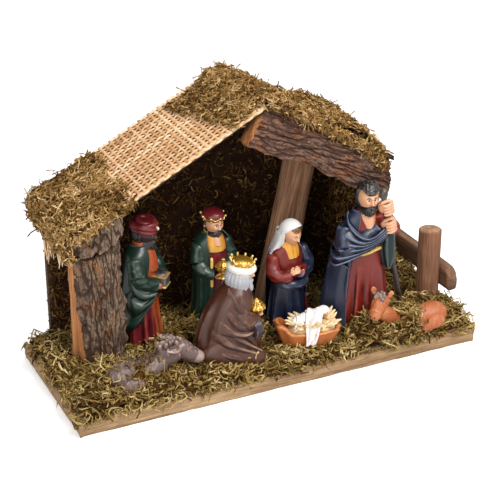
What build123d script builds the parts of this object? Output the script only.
from build123d import *
import os
from math import cos, radians, sin, tan

os.makedirs("parts", exist_ok=True)

# A small wooden crib stable on a base board, with moss, burlap and painted castings.
# X runs along the front, Y to the back and Z up, from the middle of the base's underside.
# Lengths are millimetres and angles are degrees.

# Base board
base_thickness = 10.0
base_corner_ease = 1.2

# Room
left_margin = 19.0
back_margin = 1.0
wall_thickness = 5.0

# Roof
ridge_from_king = 18.0
head_room = 1.35
roof_pitch = 27.5
roof_thickness = 3.0
left_eave_overhang = 7.0
right_eave_overhang = 2.0
roof_front_overhang = 15.0
roof_back_overhang = 1.0

# Bark post at the left front
post_width = 31.0
post_depth = 16.0
post_bark_crown = 4.0
post_sawn_slant = 9.0
post_knot_swell = 3.5

# Bark slab under the front of the right roof
slab_thickness = 15.5
slab_ridge_height = 27.0
slab_eave_height = 20.5
slab_bark_crown = 3.5

# Leaning prop log
prop_diameter = 24.0
prop_lean = 11.8

# Fence at the right end
fence_post_diameter = 16.5
front_fence_post_height = 69.0
rear_fence_post_height = 50.0
fence_post_chamfer = 0.8
fence_from_right = 21.0
rear_fence_post_from_back = 16.0
fence_seat_depth = 1.4
rail_height = 17.5
rail_thickness = 6.5
rail_back_crown = 2.0
rail_lift = 24.5
rail_front_reach = 15.0
rail_rear_reach = 9.0
rail_nose = 6.0

# Nails
nail_shank = 1.6
nail_head = 3.4
nail_head_thickness = 0.8
base_nail_length = 22.0
roof_nail_length = 15.0
rail_nail_length = 12.0
nail_clearance = 0.05

# Burlap over the left roof
burlap_thickness = 1.2
burlap_lip = 3.0

# Moss
bed_thickness = 6.0
bed_inset = 1.5
bed_corner = 9.0
bed_edge_round = 2.5
lining_thickness = 6.0
lining_inset = 4.0
lining_edge_round = 2.0
ridge_moss_thickness = 5.5
ridge_moss_left_reach = 34.0
ridge_moss_front_lip = 2.5
ridge_moss_right_setback = 2.0
eave_moss_thickness = 5.5
eave_moss_reach = 42.0
eave_moss_drop = 10.0
eave_moss_front_lip = 3.0
moss_clearance = 0.3

# Castings: size and turn of each
turbaned_king_height = 94.0
turbaned_king_width = 34.0
turbaned_king_depth = 25.0
turbaned_king_turn = 48.0
crowned_king_height = 90.0
crowned_king_width = 28.0
crowned_king_depth = 24.0
crowned_king_turn = 6.0
kneeling_king_height = 77.0
kneeling_king_width = 28.0
kneeling_king_depth = 46.0
kneeling_king_turn = 78.0
mother_height = 83.0
mother_width = 34.0
mother_depth = 24.0
mother_turn = 14.0
father_height = 108.0
father_width = 44.0
father_depth = 20.0
father_turn = -4.0
staff_diameter = 4.0
staff_height = 100.0
lower_grip_drop = 40.0
upper_grip_drop = 24.0
crib_height = 32.0
crib_length = 48.0
crib_breadth = 24.0
crib_turn = -12.0
ox_height = 30.0
ox_length = 58.0
ox_breadth = 17.0
ox_turn = -4.0
donkey_height = 31.0
donkey_length = 62.0
donkey_breadth = 24.0
donkey_turn = 8.0

# Gaps from left to right: castings along the front, then what stands in the room
end_to_donkey_gap = 26.0
donkey_to_king_gap = 5.0
king_to_crib_gap = 11.0
crib_to_father_gap = 3.0
ox_tuck = 23.0
ox_to_end_gap = 20.0
post_to_king_gap = 9.0
kings_gap = 23.0
king_to_prop_gap = 18.5
prop_to_mother_shift = 0.5
prop_to_wall_gap = 15.4

# Gaps from the front edge to the back
edge_to_ox_gap = 2.0
edge_to_donkey_gap = 9.0
edge_to_king_gap = 11.0
edge_to_crib_gap = 9.0
ox_to_father_gap = 1.0
ox_to_fence_gap = 6.75
father_to_room_gap = 9.0
room_to_turban_gap = 15.5
room_to_crown_gap = 20.0
crib_to_mother_gap = 9.0
mother_to_prop_gap = 6.0
prop_to_lining_gap = 10.0

# Through cuts run this far past the material
overrun = 2.0

# Places from the base's left end, worked out from the sizes and gaps above
donkey_from_left = end_to_donkey_gap + donkey_length / 2
kneeling_king_from_left = donkey_from_left + donkey_length / 2 + donkey_to_king_gap + kneeling_king_depth / 2
crib_from_left = kneeling_king_from_left + kneeling_king_depth / 2 + king_to_crib_gap + crib_length / 2
father_from_left = crib_from_left + crib_length / 2 + crib_to_father_gap + father_width / 2
ox_from_left = father_from_left + father_width / 2 + ox_length / 2 - ox_tuck
turbaned_king_from_left = left_margin + post_width + post_to_king_gap + turbaned_king_width / 2
crowned_king_from_left = turbaned_king_from_left + (turbaned_king_width + crowned_king_width) / 2 + kings_gap
prop_foot_from_left = crowned_king_from_left + (crowned_king_width + prop_diameter) / 2 + king_to_prop_gap
mother_from_left = prop_foot_from_left + prop_to_mother_shift
ridge_from_left = crowned_king_from_left + ridge_from_king
base_length = ox_from_left + ox_length / 2 + ox_to_end_gap

# Places from the base's front edge
ox_from_front = edge_to_ox_gap + ox_breadth / 2
donkey_from_front = edge_to_donkey_gap + donkey_breadth / 2
kneeling_king_from_front = edge_to_king_gap + kneeling_king_width / 2
crib_from_front = edge_to_crib_gap + crib_breadth / 2
father_from_front = ox_from_front + (ox_breadth + father_depth) / 2 + ox_to_father_gap
front_setback = father_from_front + father_depth / 2 + father_to_room_gap
turbaned_king_from_front = front_setback + room_to_turban_gap + turbaned_king_depth / 2
crowned_king_from_front = front_setback + room_to_crown_gap + crowned_king_depth / 2
mother_from_front = crib_from_front + (crib_breadth + mother_depth) / 2 + crib_to_mother_gap
prop_from_front = mother_from_front + (mother_depth + prop_diameter) / 2 + mother_to_prop_gap
lining_from_front = prop_from_front + prop_diameter / 2 + prop_to_lining_gap
base_depth = lining_from_front + lining_thickness + wall_thickness + back_margin
front_fence_post_from_front = ox_from_front + (ox_breadth + fence_post_diameter) / 2 + ox_to_fence_gap
rear_fence_post_from_front = base_depth - rear_fence_post_from_back

# The roof clears the father and the room is as wide as the leaning prop needs
fall = tan(radians(roof_pitch))
upright_share = 1 / cos(radians(roof_pitch))
slab_clear_height = father_height + bed_thickness + head_room + slab_eave_height * upright_share
ridge_height = slab_clear_height + (father_from_left - ridge_from_left) * fall
prop_reach = ridge_height * tan(radians(prop_lean))
room_width = (
    prop_foot_from_left + prop_diameter / 2 + prop_reach + prop_to_wall_gap + wall_thickness - left_margin
)

# Places in the frame of the whole part
left_end = -base_length / 2
front_edge = -base_depth / 2
room_left = left_end + left_margin
room_right = room_left + room_width
front_line = front_edge + front_setback
wall_back = base_depth / 2 - back_margin
wall_front = wall_back - wall_thickness
room_inner_right = room_right - wall_thickness
ridge_x = left_end + ridge_from_left
ridge_z = base_thickness + ridge_height
roof_front = front_line - roof_front_overhang
roof_back = wall_back + roof_back_overhang
left_eave = room_left - left_eave_overhang
right_eave = room_right + right_eave_overhang
bed_top = base_thickness + bed_thickness


# Size and place of each casting
turbaned_king_size = (turbaned_king_height, turbaned_king_width, turbaned_king_depth)
turbaned_king_place = (turbaned_king_from_left, turbaned_king_from_front, turbaned_king_turn)
crowned_king_size = (crowned_king_height, crowned_king_width, crowned_king_depth)
crowned_king_place = (crowned_king_from_left, crowned_king_from_front, crowned_king_turn)
kneeling_king_size = (kneeling_king_height, kneeling_king_width, kneeling_king_depth)
kneeling_king_place = (kneeling_king_from_left, kneeling_king_from_front, kneeling_king_turn)
mother_size = (mother_height, mother_width, mother_depth)
mother_place = (mother_from_left, mother_from_front, mother_turn)
father_size = (father_height, father_width, father_depth)
father_place = (father_from_left, father_from_front, father_turn)
crib_size = (crib_height, crib_length, crib_breadth)
crib_place = (crib_from_left, crib_from_front, crib_turn)
ox_size = (ox_height, ox_length, ox_breadth)
ox_place = (ox_from_left, ox_from_front, ox_turn)
donkey_size = (donkey_height, donkey_length, donkey_breadth)
donkey_place = (donkey_from_left, donkey_from_front, donkey_turn)


def underside(x):
    """Height of the roof's underside at a place along the front."""
    return ridge_z - abs(x - ridge_x) * fall


def above(x, thickness):
    """Height of a layer's top, measured square to the slope from the roof's underside."""
    return underside(x) + thickness * upright_share


def roof_plane(side, thickness=0.0):
    """Plane of a roof slope, looking up; the side is -1 on the left and 1 on the right."""
    normal = (side * sin(radians(roof_pitch)), 0, cos(radians(roof_pitch)))
    return Plane(origin=(ridge_x, 0, ridge_z), x_dir=(0, 1, 0), z_dir=normal).offset(thickness)


def upright(back):
    """Plane that looks to the front from a depth, with X along the front and Z up."""
    return Plane.XZ.offset(-back)


def extruded_profile(points, back, front):
    """Extrude an outline of the front view from one depth to another."""
    with BuildSketch(upright(back)) as profile:
        with BuildLine():
            Polyline(*points, close=True)
        make_face()
    extrude(profile.sketch, amount=back - front)


# Nail places look along the shank, from the outer face of the head.

def base_nail(x, y):
    """Nail driven up through the base."""
    return Plane(origin=(x, y, 0), x_dir=(1, 0, 0), z_dir=(0, 0, 1))


def roof_nail(x, y):
    """Nail driven square through a roof panel."""
    side = -1 if x < ridge_x else 1
    normal = roof_plane(side).z_dir
    return Plane(origin=(x, y, above(x, roof_thickness)), x_dir=(0, 1, 0), z_dir=-normal)


def nails(places, length):
    """Headed nails at their places."""
    for place in places:
        with BuildSketch(place) as nail_top:
            Circle(nail_head / 2)
        extrude(nail_top.sketch, amount=nail_head_thickness)
        with BuildSketch(place) as shank:
            Circle(nail_shank / 2)
        extrude(shank.sketch, amount=length)


def nail_bores(places, length):
    """Bores and head seats for nails, with their clearance."""
    for place in places:
        with BuildSketch(place) as head_seat:
            Circle(nail_head / 2 + nail_clearance)
        extrude(head_seat.sketch, amount=nail_head_thickness, mode=Mode.SUBTRACT)
        with BuildSketch(place) as bore:
            Circle(nail_shank / 2 + nail_clearance)
        extrude(bore.sketch, amount=length + nail_clearance, mode=Mode.SUBTRACT)


prop_foot_x = left_end + prop_foot_from_left
prop_y = front_edge + prop_from_front
fence_x = base_length / 2 - fence_from_right
front_fence_y = front_edge + front_fence_post_from_front
rear_fence_y = front_edge + rear_fence_post_from_front
rail_inner = fence_x + fence_post_diameter / 2 - fence_seat_depth
rail_outer = rail_inner + rail_thickness
rail_bottom = base_thickness + rail_lift
rail_middle = rail_bottom + rail_height / 2
wall_middle = wall_back - wall_thickness / 2
right_wall_middle = room_right - wall_thickness / 2
post_middle = (room_left + post_width / 2, front_line + post_depth / 2)
slab_middle = front_line - slab_thickness / 2

wall_nail_shares = (0.12, 0.5, 0.88)
side_nail_shares = (0.2, 0.75)
left_roof_nail_shares = (0.3, 0.8)
right_roof_nail_shares = (0.25, 0.7)
slab_nail_shares = (0.3, 0.75)

base_nail_places = [base_nail(room_left + room_width * share, wall_middle) for share in wall_nail_shares]
base_nail_places += [
    base_nail(right_wall_middle, front_line + (wall_front - front_line) * share) for share in side_nail_shares
]
base_nail_places += [
    base_nail(*post_middle),
    base_nail(prop_foot_x, prop_y),
    base_nail(fence_x, front_fence_y),
    base_nail(fence_x, rear_fence_y),
]
left_span = ridge_x - room_left
right_span = room_right - ridge_x
roof_nail_places = [roof_nail(ridge_x - left_span * share, wall_middle) for share in left_roof_nail_shares]
roof_nail_places += [roof_nail(ridge_x + right_span * share, wall_middle) for share in right_roof_nail_shares]
roof_nail_places += [roof_nail(ridge_x + right_span * share, slab_middle) for share in slab_nail_shares]
roof_nail_places += [roof_nail(*post_middle)]
rail_nail_places = [
    Plane(origin=(rail_outer + rail_back_crown, y, rail_middle), x_dir=(0, 1, 0), z_dir=(-1, 0, 0))
    for y in (front_fence_y, rear_fence_y)
]

# Base board
with BuildPart() as base_board:
    with BuildSketch():
        Rectangle(base_length, base_depth)
    extrude(amount=base_thickness)
    chamfer(base_board.edges().filter_by(Axis.Z), base_corner_ease)
    nail_bores(base_nail_places, base_nail_length)
base_board.part.label = "base_board"
export_step(base_board.part, "parts/base_board.step")

# Back wall, cut to the two slopes of the roof
with BuildPart() as back_wall:
    gable = [
        (room_left, base_thickness),
        (room_right, base_thickness),
        (room_right, underside(room_right)),
        (ridge_x, ridge_z),
        (room_left, underside(room_left)),
    ]
    extruded_profile(gable, wall_back, wall_front)
    nail_bores(base_nail_places, base_nail_length)
    nail_bores(roof_nail_places, roof_nail_length)
back_wall.part.label = "back_wall"
export_step(back_wall.part, "parts/back_wall.step")

# Right wall, butted against the back wall
with BuildPart() as right_wall:
    side_profile = [
        (room_inner_right, base_thickness),
        (room_right, base_thickness),
        (room_right, underside(room_right)),
        (room_inner_right, underside(room_inner_right)),
    ]
    extruded_profile(side_profile, wall_front, front_line)
    nail_bores(base_nail_places, base_nail_length)
right_wall.part.label = "right_wall"
export_step(right_wall.part, "parts/right_wall.step")

# Bark post: flat back, slanted sawn side and a crowned bark face, swollen at a knot
post_section_shares = (
    (0.0, 1.0, 0.0), (0.3, 0.97, 0.4), (0.42, 0.95, 1.0), (0.55, 0.94, 0.2), (1.0, 0.92, 0.0),
)
with BuildPart() as left_post:
    post_corner = Plane(origin=(room_left, front_line, base_thickness))
    post_rise = underside(room_left + post_width) - base_thickness + post_knot_swell
    for rise_share, width_share, knot_share in post_section_shares:
        section_right = post_width * width_share + post_knot_swell * knot_share
        with BuildSketch(post_corner.offset(post_rise * rise_share)):
            with BuildLine():
                sawn = Polyline((post_sawn_slant, 0), (0, post_depth), (section_right, post_depth),
                                (section_right, 0))
                crown_x = (post_sawn_slant + section_right) / 2
                ThreePointArc(sawn @ 1, (crown_x, -post_bark_crown), sawn @ 0)
            make_face()
    loft(ruled=True)
    split(bisect_by=roof_plane(-1), keep=Keep.BOTTOM)
    nail_bores(base_nail_places, base_nail_length)
    nail_bores(roof_nail_places, roof_nail_length)
left_post.part.label = "left_post"
export_step(left_post.part, "parts/left_post.step")

# Roof panels, mitred together at the ridge
with BuildPart() as left_roof_panel:
    left_panel = [
        (left_eave, underside(left_eave)),
        (ridge_x, ridge_z),
        (ridge_x, above(ridge_x, roof_thickness)),
        (left_eave, above(left_eave, roof_thickness)),
    ]
    extruded_profile(left_panel, roof_back, roof_front)
    nail_bores(roof_nail_places, roof_nail_length)
left_roof_panel.part.label = "left_roof_panel"
export_step(left_roof_panel.part, "parts/left_roof_panel.step")

with BuildPart() as right_roof_panel:
    right_panel = [
        (right_eave, underside(right_eave)),
        (ridge_x, ridge_z),
        (ridge_x, above(ridge_x, roof_thickness)),
        (right_eave, above(right_eave, roof_thickness)),
    ]
    extruded_profile(right_panel, roof_back, roof_front)
    nail_bores(roof_nail_places, roof_nail_length)
right_roof_panel.part.label = "right_roof_panel"
export_step(right_roof_panel.part, "parts/right_roof_panel.step")

# Bark slab along the front of the right roof, sawn square at its ridge end
slab_length = right_span * upright_share
slab_section_shares = (
    (0.0, 0.0, 1.0), (0.16, 0.15, 1.1), (0.3, 0.55, 0.8), (0.75, 0.8, 1.2), (1.0, 1.0, 0.8),
)
with BuildPart() as bark_slab:
    slab_start = Plane(
        origin=(ridge_x, front_line, ridge_z),
        x_dir=(0, -1, 0),
        z_dir=(cos(radians(roof_pitch)), 0, -sin(radians(roof_pitch))),
    )
    for along_share, taper_share, crown_share in slab_section_shares:
        section_height = slab_ridge_height + (slab_eave_height - slab_ridge_height) * taper_share
        front_face = slab_thickness - slab_bark_crown
        with BuildSketch(slab_start.offset(slab_length * along_share)):
            with BuildLine():
                rear = Polyline((front_face, section_height), (0, section_height), (0, 0), (front_face, 0))
                bark_face = front_face + slab_bark_crown * crown_share
                ThreePointArc(rear @ 1, (bark_face, section_height / 2), rear @ 0)
            make_face()
    loft(ruled=True)
    nail_bores(roof_nail_places, roof_nail_length)
bark_slab.part.label = "bark_slab"
export_step(bark_slab.part, "parts/bark_slab.step")

# Leaning prop log, cut level at its foot and to the roof's slope at its head
with BuildPart() as prop_log:
    lean = (sin(radians(prop_lean)), 0, cos(radians(prop_lean)))
    with BuildSketch(Plane(origin=(prop_foot_x, prop_y, base_thickness), x_dir=(0, 1, 0), z_dir=lean)):
        Circle(prop_diameter / 2)
    extrude(amount=ridge_z, both=True)
    split(bisect_by=Plane.XY.offset(base_thickness), keep=Keep.TOP)
    split(bisect_by=roof_plane(1), keep=Keep.BOTTOM)
    nail_bores(base_nail_places, base_nail_length)
prop_log.part.label = "prop_log"
export_step(prop_log.part, "parts/prop_log.step")


def fence_post(y, height):
    """Round post with an eased top and a flat seat for the rail."""
    with BuildSketch(Plane.XY.offset(base_thickness)) as section:
        with Locations((fence_x, y)):
            Circle(fence_post_diameter / 2)
    post = extrude(section.sketch, amount=height)
    chamfer(post.faces().sort_by(Axis.Z)[-1].edges(), fence_post_chamfer)
    with BuildSketch(Plane.XY.offset(rail_bottom)) as seat:
        with Locations((rail_inner, y)):
            Rectangle(fence_post_diameter, fence_post_diameter + overrun, align=(Align.MIN, Align.CENTER))
    extrude(seat.sketch, amount=rail_height, mode=Mode.SUBTRACT)
    nail_bores(base_nail_places, base_nail_length)
    nail_bores(rail_nail_places, rail_nail_length)


with BuildPart() as front_fence_post:
    fence_post(front_fence_y, front_fence_post_height)
front_fence_post.part.label = "front_fence_post"
export_step(front_fence_post.part, "parts/front_fence_post.step")

with BuildPart() as rear_fence_post:
    fence_post(rear_fence_y, rear_fence_post_height)
rear_fence_post.part.label = "rear_fence_post"
export_step(rear_fence_post.part, "parts/rear_fence_post.step")

# Rail: a slat with a crowned outer face and a rounded nose at the front
with BuildPart() as fence_rail:
    rail_back = rear_fence_y + rail_rear_reach
    rail_front = front_fence_y - rail_front_reach
    with BuildSketch(upright(rail_back)):
        with BuildLine():
            slat = Polyline(
                (rail_outer, rail_bottom),
                (rail_inner, rail_bottom),
                (rail_inner, rail_bottom + rail_height),
                (rail_outer, rail_bottom + rail_height),
            )
            ThreePointArc(slat @ 1, (rail_outer + rail_back_crown, rail_middle), slat @ 0)
        make_face()
    extrude(amount=rail_back - rail_front)
    nose_edge = fence_rail.edges().filter_by(Axis.X).group_by(Axis.Z)[-1].sort_by(Axis.Y)[0]
    fillet(nose_edge, rail_nose)
    nail_bores(rail_nail_places, rail_nail_length)
fence_rail.part.label = "fence_rail"
export_step(fence_rail.part, "parts/fence_rail.step")

# Nails, each in its bores
with BuildPart() as base_nails:
    nails(base_nail_places, base_nail_length)
base_nails.part.label = "base_nails"
export_step(base_nails.part, "parts/base_nails.step")

with BuildPart() as roof_nails:
    nails(roof_nail_places, roof_nail_length)
roof_nails.part.label = "roof_nails"
export_step(roof_nails.part, "parts/roof_nails.step")

with BuildPart() as rail_nails:
    nails(rail_nail_places, rail_nail_length)
rail_nails.part.label = "rail_nails"
export_step(rail_nails.part, "parts/rail_nails.step")

# Burlap over the left roof, turned down over the panel's front edge
burlap_top = roof_thickness + burlap_thickness
with BuildPart() as burlap_cover:
    left_cloth = [
        (left_eave, above(left_eave, roof_thickness)),
        (ridge_x, above(ridge_x, roof_thickness)),
        (ridge_x, above(ridge_x, burlap_top)),
        (left_eave, above(left_eave, burlap_top)),
    ]
    extruded_profile(left_cloth, roof_back, roof_front - burlap_thickness)
    turned_edge = [
        (left_eave, above(left_eave, burlap_top - burlap_lip)),
        (ridge_x, above(ridge_x, burlap_top - burlap_lip)),
        (ridge_x, above(ridge_x, burlap_top)),
        (left_eave, above(left_eave, burlap_top)),
    ]
    extruded_profile(turned_edge, roof_front, roof_front - burlap_thickness)
burlap_cover.part.label = "burlap_cover"
export_step(burlap_cover.part, "parts/burlap_cover.step")

# Moss bed over the base, open where walls, posts and the prop stand
with BuildPart() as moss_bed:
    with BuildSketch(Plane.XY.offset(base_thickness)):
        RectangleRounded(base_length - 2 * bed_inset, base_depth - 2 * bed_inset, bed_corner)
    extrude(amount=bed_thickness)
    fillet(moss_bed.faces().sort_by(Axis.Z)[-1].edges(), bed_edge_round)
    with BuildSketch(Plane.XY.offset(base_thickness)):
        with Locations((room_left - moss_clearance, wall_front - moss_clearance)):
            Rectangle(room_width + 2 * moss_clearance, base_depth, align=Align.MIN)
        with Locations((room_inner_right - moss_clearance, front_line - moss_clearance)):
            Rectangle(wall_thickness + 2 * moss_clearance, base_depth, align=Align.MIN)
        with Locations((room_left - moss_clearance, front_line - post_bark_crown - moss_clearance)):
            Rectangle(post_width + 2 * moss_clearance, post_depth + post_bark_crown + 2 * moss_clearance,
                      align=Align.MIN)
        with Locations((fence_x, front_fence_y), (fence_x, rear_fence_y)):
            Circle(fence_post_diameter / 2 + moss_clearance)
        with Locations((prop_foot_x + bed_thickness * tan(radians(prop_lean)) / 2, prop_y)):
            SlotOverall(
                prop_diameter / cos(radians(prop_lean)) + bed_thickness * tan(radians(prop_lean))
                + 2 * moss_clearance,
                prop_diameter + 2 * moss_clearance,
            )
    extrude(amount=bed_thickness, mode=Mode.SUBTRACT)
moss_bed.part.label = "moss_bed"
export_step(moss_bed.part, "parts/moss_bed.step")

# Moss lining inside the back wall and the right wall
lining_floor = bed_top
with BuildPart() as moss_back_lining:
    lining_left = room_left + lining_inset
    lining_right = room_inner_right - lining_inset
    lining = [
        (lining_left, lining_floor),
        (lining_right, lining_floor),
        (lining_right, underside(lining_right) - lining_inset),
        (ridge_x, ridge_z - lining_inset),
        (lining_left, underside(lining_left) - lining_inset),
    ]
    extruded_profile(lining, wall_front, wall_front - lining_thickness)
    fillet(moss_back_lining.faces().sort_by(Axis.Y)[0].edges(), lining_edge_round)
moss_back_lining.part.label = "moss_back_lining"
export_step(moss_back_lining.part, "parts/moss_back_lining.step")

with BuildPart() as moss_side_lining:
    side_lining_left = room_inner_right - lining_thickness
    side_lining = [
        (side_lining_left, lining_floor),
        (room_inner_right, lining_floor),
        (room_inner_right, underside(room_inner_right) - lining_inset),
        (side_lining_left, underside(room_inner_right) - lining_inset),
    ]
    side_lining_back = wall_front - lining_thickness - lining_inset
    extruded_profile(side_lining, side_lining_back, front_line + lining_inset)
    fillet(moss_side_lining.faces().sort_by(Axis.X)[0].edges(), lining_edge_round)
moss_side_lining.part.label = "moss_side_lining"
export_step(moss_side_lining.part, "parts/moss_side_lining.step")

# Moss over the ridge and the right roof, in sections from back to front.
# Each row: place from the back, reach, then humps at the left, ridge, upper slope, lower slope and eave.
ridge_moss_shares = (
    (0.0, 1.15, 0.7, 1.2, 0.7, 0.6, 0.4), (0.25, 1.05, 1.2, 1.0, 1.1, 1.0, 0.6), (0.5, 0.9, 0.8, 1.1, 0.8, 1.2, 0.5),
    (0.75, 0.8, 1.1, 0.9, 1.2, 0.8, 0.7), (1.0, 0.7, 0.7, 0.8, 0.9, 0.9, 0.5),
)
moss_toe_share = 0.4
upper_slope_share = 0.36
lower_slope_share = 0.7
with BuildPart() as moss_ridge:
    moss_right = right_eave - ridge_moss_right_setback
    upper_x, lower_x = [ridge_x + (moss_right - ridge_x) * share for share in (upper_slope_share, lower_slope_share)]
    ridge_moss_depth = roof_back - roof_front + ridge_moss_front_lip
    ridge_moss_sections = []
    for back_share, reach_share, *hump_shares in ridge_moss_shares:
        humps = [ridge_moss_thickness * share for share in hump_shares]
        left_hump, ridge_hump, upper_hump, lower_hump, eave_hump = humps
        moss_left = ridge_x - ridge_moss_left_reach * reach_share
        hump_x = (moss_left + ridge_x) / 2
        with BuildSketch(upright(roof_back - ridge_moss_depth * back_share)) as moss_section:
            with BuildLine():
                laid = Polyline(
                    (moss_left, above(moss_left, burlap_top + ridge_moss_thickness * moss_toe_share)),
                    (moss_left, above(moss_left, burlap_top)),
                    (ridge_x, above(ridge_x, burlap_top)),
                    (ridge_x, above(ridge_x, roof_thickness)),
                    (moss_right, above(moss_right, roof_thickness)),
                    (moss_right, above(moss_right, roof_thickness + eave_hump)),
                )
                Spline(
                    laid @ 1,
                    (lower_x, above(lower_x, roof_thickness + lower_hump)),
                    (upper_x, above(upper_x, roof_thickness + upper_hump)),
                    (ridge_x, above(ridge_x, burlap_top + ridge_hump)),
                    (hump_x, above(hump_x, burlap_top + left_hump)),
                    laid @ 0,
                )
            make_face()
        ridge_moss_sections.append(moss_section.sketch)
    loft(ridge_moss_sections)
moss_ridge.part.label = "moss_ridge"
export_step(moss_ridge.part, "parts/moss_ridge.step")

# Moss over the left eave, hanging down past it.
# Each row: place from the back, reach, then humps high on the slope, low on it, at the eave and outside it.
eave_moss_shares = (
    (0.0, 0.9, 0.6, 0.8, 0.9, 0.9), (0.25, 1.0, 1.1, 0.8, 1.1, 1.1), (0.5, 1.05, 0.8, 1.2, 0.9, 1.0),
    (0.75, 1.0, 1.1, 0.9, 1.2, 1.1), (1.0, 1.1, 0.7, 1.0, 0.9, 0.9),
)
high_slope_share = 0.7
low_slope_share = 0.36
eave_foot_share = 0.6
with BuildPart() as moss_eave:
    eave_moss_depth = roof_back - roof_front + eave_moss_front_lip
    eave_moss_foot = underside(left_eave) - eave_moss_drop
    eave_moss_sections = []
    for back_share, reach_share, *hump_shares in eave_moss_shares:
        high_hump, low_hump, eave_hump, outer_hump = [eave_moss_thickness * share for share in hump_shares]
        reach = eave_moss_reach * reach_share
        eave_inner = left_eave + reach
        high_x, low_x = [left_eave + reach * share for share in (high_slope_share, low_slope_share)]
        with BuildSketch(upright(roof_back - eave_moss_depth * back_share)) as moss_section:
            with BuildLine():
                tucked = Polyline(
                    (eave_inner, above(eave_inner, burlap_top + eave_moss_thickness * moss_toe_share)),
                    (eave_inner, above(eave_inner, burlap_top)),
                    (left_eave, above(left_eave, burlap_top)),
                    (left_eave, eave_moss_foot),
                    (left_eave - outer_hump * eave_foot_share, eave_moss_foot),
                )
                Spline(
                    tucked @ 1,
                    (left_eave - outer_hump, underside(left_eave)),
                    (left_eave, above(left_eave, burlap_top + eave_hump)),
                    (low_x, above(low_x, burlap_top + low_hump)),
                    (high_x, above(high_x, burlap_top + high_hump)),
                    tucked @ 0,
                )
            make_face()
        eave_moss_sections.append(moss_section.sketch)
    loft(eave_moss_sections)
moss_eave.part.label = "moss_eave"
export_step(moss_eave.part, "parts/moss_eave.step")


# Castings stand on the moss bed and face the front, turned about their own upright axis.

def standing_place(place):
    """Plane under a casting: from the base's left end and front edge, with its turn."""
    from_left, from_front, turn = place
    return Plane(
        origin=(left_end + from_left, front_edge + from_front, bed_top),
        x_dir=(cos(radians(turn)), sin(radians(turn)), 0),
        z_dir=(0, 0, 1),
    )


def at(place, size, point_shares):
    """Point of a casting, in shares of its width, depth and height."""
    height, width, depth = size
    right_share, back_share, up_share = point_shares
    return place.from_local_coords(Vector(width * right_share, depth * back_share, height * up_share))


def draped(place, size, section_shares):
    """Loft a garment through ellipses: height, width, depth and backward lean of each, as shares."""
    height, width, depth = size
    sections = []
    for up_share, width_share, depth_share, back_share in section_shares:
        with BuildSketch(place.offset(height * up_share)) as section:
            with Locations((0, depth * back_share)):
                Ellipse(width * width_share / 2, depth * depth_share / 2)
        sections.append(section.sketch)
    loft(sections)


def spheroid(centre, place, radius, half_height):
    """Revolve half an ellipse about an upright axis."""
    with BuildSketch(Plane(origin=centre, x_dir=place.x_dir, z_dir=-place.y_dir)) as half:
        with BuildLine():
            EllipticalCenterArc((0, 0), radius, half_height, start_angle=-90, arc_size=180)
            Line((0, half_height), (0, -half_height))
        make_face()
    revolve(half.sketch, axis=Axis(centre, place.z_dir))


def limb(start, end, start_radius, end_radius):
    """Tapered limb with a rounded end."""
    sections = []
    for point, radius in ((start, start_radius), (end, end_radius)):
        with BuildSketch(Plane(origin=point, z_dir=end - start)) as section:
            Circle(radius)
        sections.append(section.sketch)
    loft(sections)
    with Locations(end):
        Sphere(end_radius)


def turned(centre, place, profile):
    """Revolve a vessel or crown from its radii and heights."""
    with BuildSketch(Plane(origin=centre, x_dir=place.x_dir, z_dir=-place.y_dir)) as half:
        with BuildLine():
            Polyline((0, profile[0][1]), *profile, (0, profile[-1][1]), close=True)
        make_face()
    revolve(half.sketch, axis=Axis(centre, place.z_dir))


robe_shares = (
    (0.0, 1.0, 1.0, 0.0), (0.1, 0.9, 0.92, 0.0), (0.42, 0.72, 0.8, 0.02),
    (0.6, 0.82, 0.8, 0.04), (0.72, 0.8, 0.7, 0.06), (0.8, 0.34, 0.4, 0.04), (0.85, 0.26, 0.34, 0.0),
)
cloak_shares = (
    (0.0, 1.04, 0.72, 0.24), (0.3, 0.94, 0.66, 0.2), (0.6, 0.92, 0.66, 0.16),
    (0.74, 0.82, 0.6, 0.12), (0.8, 0.42, 0.44, 0.1),
)
kneeling_shares = (
    (0.0, 0.86, 0.84, 0.02), (0.14, 0.96, 0.94, 0.0), (0.36, 0.98, 0.86, 0.0),
    (0.56, 1.0, 0.7, -0.03), (0.68, 0.9, 0.52, -0.08), (0.77, 0.5, 0.3, -0.12), (0.84, 0.3, 0.22, -0.14),
)
head_radius_share = 0.074
head_half_height_share = 0.092
cover_swell_share = 1.12
cover_back_share = 0.02
sleeve_radius_share = 0.055
hand_radius_share = 0.03
standing_shoulder_shares = (0.36, 0.0, 0.7)


def head(place, size, centre_shares):
    """Head with a close cover of hair or cloth behind it; gives the head's centre."""
    height = size[0]
    centre = at(place, size, centre_shares)
    spheroid(centre, place, height * head_radius_share, height * head_half_height_share)
    rear = centre + place.y_dir * height * cover_back_share + place.z_dir * height * cover_back_share
    cover_radius = height * head_radius_share * cover_swell_share
    spheroid(rear, place, cover_radius, height * head_half_height_share * cover_swell_share)
    return centre


def arms(place, size, hand_shares, shoulder_shares):
    """Two sleeves from the shoulders to hands held in front."""
    height = size[0]
    for side in (-1, 1):
        shoulder, hand = [
            at(place, size, (side * right_share, back_share, up_share))
            for right_share, back_share, up_share in (shoulder_shares, hand_shares)
        ]
        limb(shoulder, hand, height * sleeve_radius_share, height * hand_radius_share)


def crown_profile(radius, rise):
    """Band of a crown that widens upwards."""
    flare_share = 1.12
    return ((radius, 0), (radius * flare_share, rise))


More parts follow.
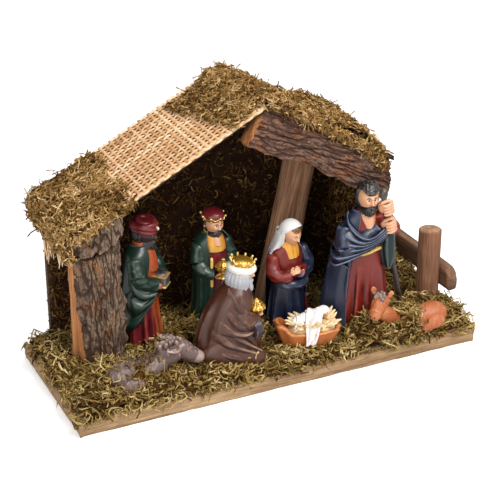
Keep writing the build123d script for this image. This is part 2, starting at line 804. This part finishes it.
casket_shares = (0.28, 0.38, 0.1)
vessel_shares = ((0.055, 0.0), (0.02, 0.03), (0.06, 0.07), (0.055, 0.11), (0.015, 0.15))
gift_shares = ((0.06, 0.0), (0.085, 0.06), (0.05, 0.1), (0.02, 0.13))
crown_rise_share = 0.07
turban_swell_share = 1.3
turban_flat_share = 0.6
turban_lift_share = 0.055
turban_back_share = 0.012

# Standing king with a turban, holding a casket
turbaned_head_shares = (0.0, 0.0, 0.89)
turbaned_hand_shares = (0.12, -0.58, 0.48)
casket_place_shares = (0.0, -0.66, 0.45)
with BuildPart() as turbaned_king:
    place = standing_place(turbaned_king_place)
    height, width, depth = turbaned_king_size
    draped(place, turbaned_king_size, robe_shares)
    draped(place, turbaned_king_size, cloak_shares)
    crown_centre = head(place, turbaned_king_size, turbaned_head_shares)
    turban_radius = height * head_radius_share * turban_swell_share
    turban_centre = crown_centre + (place.z_dir * turban_lift_share + place.y_dir * turban_back_share) * height
    spheroid(turban_centre, place, turban_radius, turban_radius * turban_flat_share)
    arms(place, turbaned_king_size, turbaned_hand_shares, standing_shoulder_shares)
    box_width_share, box_depth_share, box_rise_share = casket_shares
    casket_place = at(place, turbaned_king_size, casket_place_shares)
    with BuildSketch(Plane(casket_place, x_dir=place.x_dir, z_dir=place.z_dir)):
        Rectangle(width * box_width_share, depth * box_depth_share)
    extrude(amount=height * box_rise_share)
turbaned_king.part.label = "turbaned_king"
export_step(turbaned_king.part, "parts/turbaned_king.step")

# Standing king with a crown, holding a covered vessel
crowned_head_shares = (0.0, 0.0, 0.87)
crowned_hand_shares = (0.1, -0.52, 0.48)
vessel_place_shares = (0.0, -0.58, 0.49)
with BuildPart() as crowned_king:
    place = standing_place(crowned_king_place)
    height = crowned_king_size[0]
    draped(place, crowned_king_size, robe_shares)
    draped(place, crowned_king_size, cloak_shares)
    crown_centre = head(place, crowned_king_size, crowned_head_shares)
    turned(crown_centre + place.z_dir * height * crown_rise_share, place,
           crown_profile(height * head_radius_share, height * crown_rise_share))
    arms(place, crowned_king_size, crowned_hand_shares, standing_shoulder_shares)
    turned(at(place, crowned_king_size, vessel_place_shares), place,
           [(height * radius_share, height * rise_share) for radius_share, rise_share in vessel_shares])
crowned_king.part.label = "crowned_king"
export_step(crowned_king.part, "parts/crowned_king.step")

# Kneeling king, bent towards the crib with a gift
kneeling_head_shares = (0.0, -0.17, 0.86)
kneeling_shoulder_shares = (0.36, -0.1, 0.62)
kneeling_hand_shares = (0.12, -0.4, 0.5)
gift_place_shares = (0.0, -0.4, 0.42)
with BuildPart() as kneeling_king:
    place = standing_place(kneeling_king_place)
    height = kneeling_king_size[0]
    draped(place, kneeling_king_size, kneeling_shares)
    crown_centre = head(place, kneeling_king_size, kneeling_head_shares)
    turned(crown_centre + place.z_dir * height * crown_rise_share, place,
           crown_profile(height * head_radius_share, height * crown_rise_share))
    arms(place, kneeling_king_size, kneeling_hand_shares, kneeling_shoulder_shares)
    turned(at(place, kneeling_king_size, gift_place_shares), place,
           [(height * radius_share, height * rise_share) for radius_share, rise_share in gift_shares])
kneeling_king.part.label = "kneeling_king"
export_step(kneeling_king.part, "parts/kneeling_king.step")

# Mother, veiled, hands together
mother_head_shares = (0.0, -0.06, 0.87)
mother_hand_shares = (0.03, -0.5, 0.58)
veil_shares = (
    (0.66, 0.7, 0.6, 0.14), (0.76, 0.6, 0.62, 0.12), (0.88, 0.42, 0.66, 0.08), (0.96, 0.3, 0.5, 0.06),
)
with BuildPart() as mother_figure:
    place = standing_place(mother_place)
    draped(place, mother_size, robe_shares)
    draped(place, mother_size, veil_shares)
    head(place, mother_size, mother_head_shares)
    arms(place, mother_size, mother_hand_shares, standing_shoulder_shares)
mother_figure.part.label = "mother_figure"
export_step(mother_figure.part, "parts/mother_figure.step")

# Father, in a mantle, both hands on a staff at one side
mantle_shares = (
    (0.0, 1.12, 0.74, 0.2), (0.3, 1.02, 0.7, 0.18), (0.55, 0.96, 0.7, 0.16), (0.72, 0.84, 0.62, 0.12),
    (0.8, 0.44, 0.5, 0.08),
)
father_head_shares = (0.0, -0.2, 0.9)
staff_foot_shares = (0.68, -0.1, 0.0)
staff_head_shares = (0.3, -0.52, 0.0)
with BuildPart() as father_figure:
    place = standing_place(father_place)
    height, width, depth = father_size
    draped(place, father_size, robe_shares)
    draped(place, father_size, mantle_shares)
    head(place, father_size, father_head_shares)
    staff_foot = at(place, father_size, staff_foot_shares)
    staff_head = at(place, father_size, staff_head_shares) + place.z_dir * staff_height
    for end in (staff_foot, staff_head):
        with BuildSketch(Plane(origin=end)):
            Circle(staff_diameter / 2)
    loft()
    for side, grip_drop in zip((-1, 1), (lower_grip_drop, upper_grip_drop)):
        right_share, back_share, up_share = standing_shoulder_shares
        shoulder = at(place, father_size, (side * right_share, back_share, up_share))
        grip = staff_foot + (staff_head - staff_foot) * ((father_height - grip_drop) / staff_height)
        limb(shoulder, grip, height * sleeve_radius_share, height * hand_radius_share)
father_figure.part.label = "father_figure"
export_step(father_figure.part, "parts/father_figure.step")

# Crib with straw and a swaddled child
straw_place_shares = (0.0, 0.0, 0.52)
straw_radius_share = 0.44
straw_rise_share = 0.2
child_end_shares = ((-0.3, 0.0, 0.6), (0.12, 0.0, 0.68))
child_radius_shares = (0.16, 0.24)
child_head_shares = (0.3, 0.0, 0.74)
child_head_radius_share = 0.22
child_head_rise_share = 0.2
crib_shares = ((0.0, 0.6, 0.7, 0.0), (0.2, 0.8, 0.86, 0.0), (0.52, 1.0, 1.0, 0.0))
with BuildPart() as crib_with_child:
    place = standing_place(crib_place)
    height, width, depth = crib_size
    draped(place, crib_size, crib_shares)
    straw = at(place, crib_size, straw_place_shares)
    spheroid(straw, place, depth * straw_radius_share, height * straw_rise_share)
    feet, chest = [at(place, crib_size, end_shares) for end_shares in child_end_shares]
    feet_share, chest_share = child_radius_shares
    limb(feet, chest, depth * feet_share, depth * chest_share)
    child_head = at(place, crib_size, child_head_shares)
    spheroid(child_head, place, depth * child_head_radius_share, height * child_head_rise_share)
crib_with_child.part.label = "crib_with_child"
export_step(crib_with_child.part, "parts/crib_with_child.step")


def lying_body(place, size, section_shares):
    """Loft a lying animal's trunk along its length: place, breadth, height and rise as shares."""
    height, length, breadth = size
    sections = []
    for along_share, breadth_share, height_share, rise_share in section_shares:
        centre = at(place, size, (along_share, 0.0, rise_share))
        with BuildSketch(Plane(origin=centre, x_dir=place.y_dir, z_dir=place.x_dir)) as section:
            Ellipse(breadth * breadth_share / 2, height * height_share / 2)
        sections.append(section.sketch)
    loft(sections)


trunk_shares = (
    (0.22, 0.5, 0.4, 0.3), (0.12, 0.86, 0.68, 0.34), (-0.12, 1.0, 0.8, 0.36), (-0.36, 0.96, 0.8, 0.36),
    (-0.48, 0.6, 0.5, 0.3),
)


# Points of a lying animal: along from its middle to its head, backwards and up
withers_shares = (0.14, 0.0, 0.4)
poll_shares = (0.36, 0.0, 0.78)
muzzle_shares = (0.46, -0.34, 0.34)
foreleg_shares = ((0.0, 0.3, 0.14), (0.3, 0.3, 0.1))
hind_leg_shares = ((-0.4, 0.28, 0.16), (-0.16, 0.32, 0.1))
neck_radius_shares = (0.26, 0.2)
muzzle_radius_share = 0.13
foreleg_radius_shares = (0.12, 0.09)
hind_leg_radius_shares = (0.15, 0.1)
ox_ear_shares = (0.2, 0.07)
donkey_ear_shares = (0.26, 0.06)


def animal(place, size, heading, ear_shares):
    """Lying animal, cut flat where it rests; the heading is -1 with its head on the left, 1 on the right."""
    height = size[0]
    ear_reach_share, ear_radius_share = ear_shares

    def spot(point_shares, side=1):
        along_share, back_share, up_share = point_shares
        return at(place, size, (heading * along_share, side * back_share, up_share))

    neck_share, poll_share = neck_radius_shares
    lying_body(place, size, [(heading * row[0], *row[1:]) for row in trunk_shares])
    poll = spot(poll_shares)
    limb(spot(withers_shares), poll, height * neck_share, height * poll_share)
    limb(poll, spot(muzzle_shares), height * poll_share, height * muzzle_radius_share)
    for side in (-1, 1):
        ear = poll + (place.y_dir * side + place.z_dir) * height * ear_reach_share
        limb(poll, ear, height * ear_radius_share, height * ear_radius_share / 2)
        for leg_shares, radius_shares in (
            (foreleg_shares, foreleg_radius_shares), (hind_leg_shares, hind_leg_radius_shares)
        ):
            thick_share, thin_share = radius_shares
            hip, hoof = [spot(joint_shares, side) for joint_shares in leg_shares]
            limb(hip, hoof, height * thick_share, height * thin_share)
    split(bisect_by=place, keep=Keep.TOP)


with BuildPart() as ox:
    animal(standing_place(ox_place), ox_size, -1, ox_ear_shares)
ox.part.label = "ox"
export_step(ox.part, "parts/ox.step")

with BuildPart() as donkey:
    animal(standing_place(donkey_place), donkey_size, 1, donkey_ear_shares)
donkey.part.label = "donkey"
export_step(donkey.part, "parts/donkey.step")
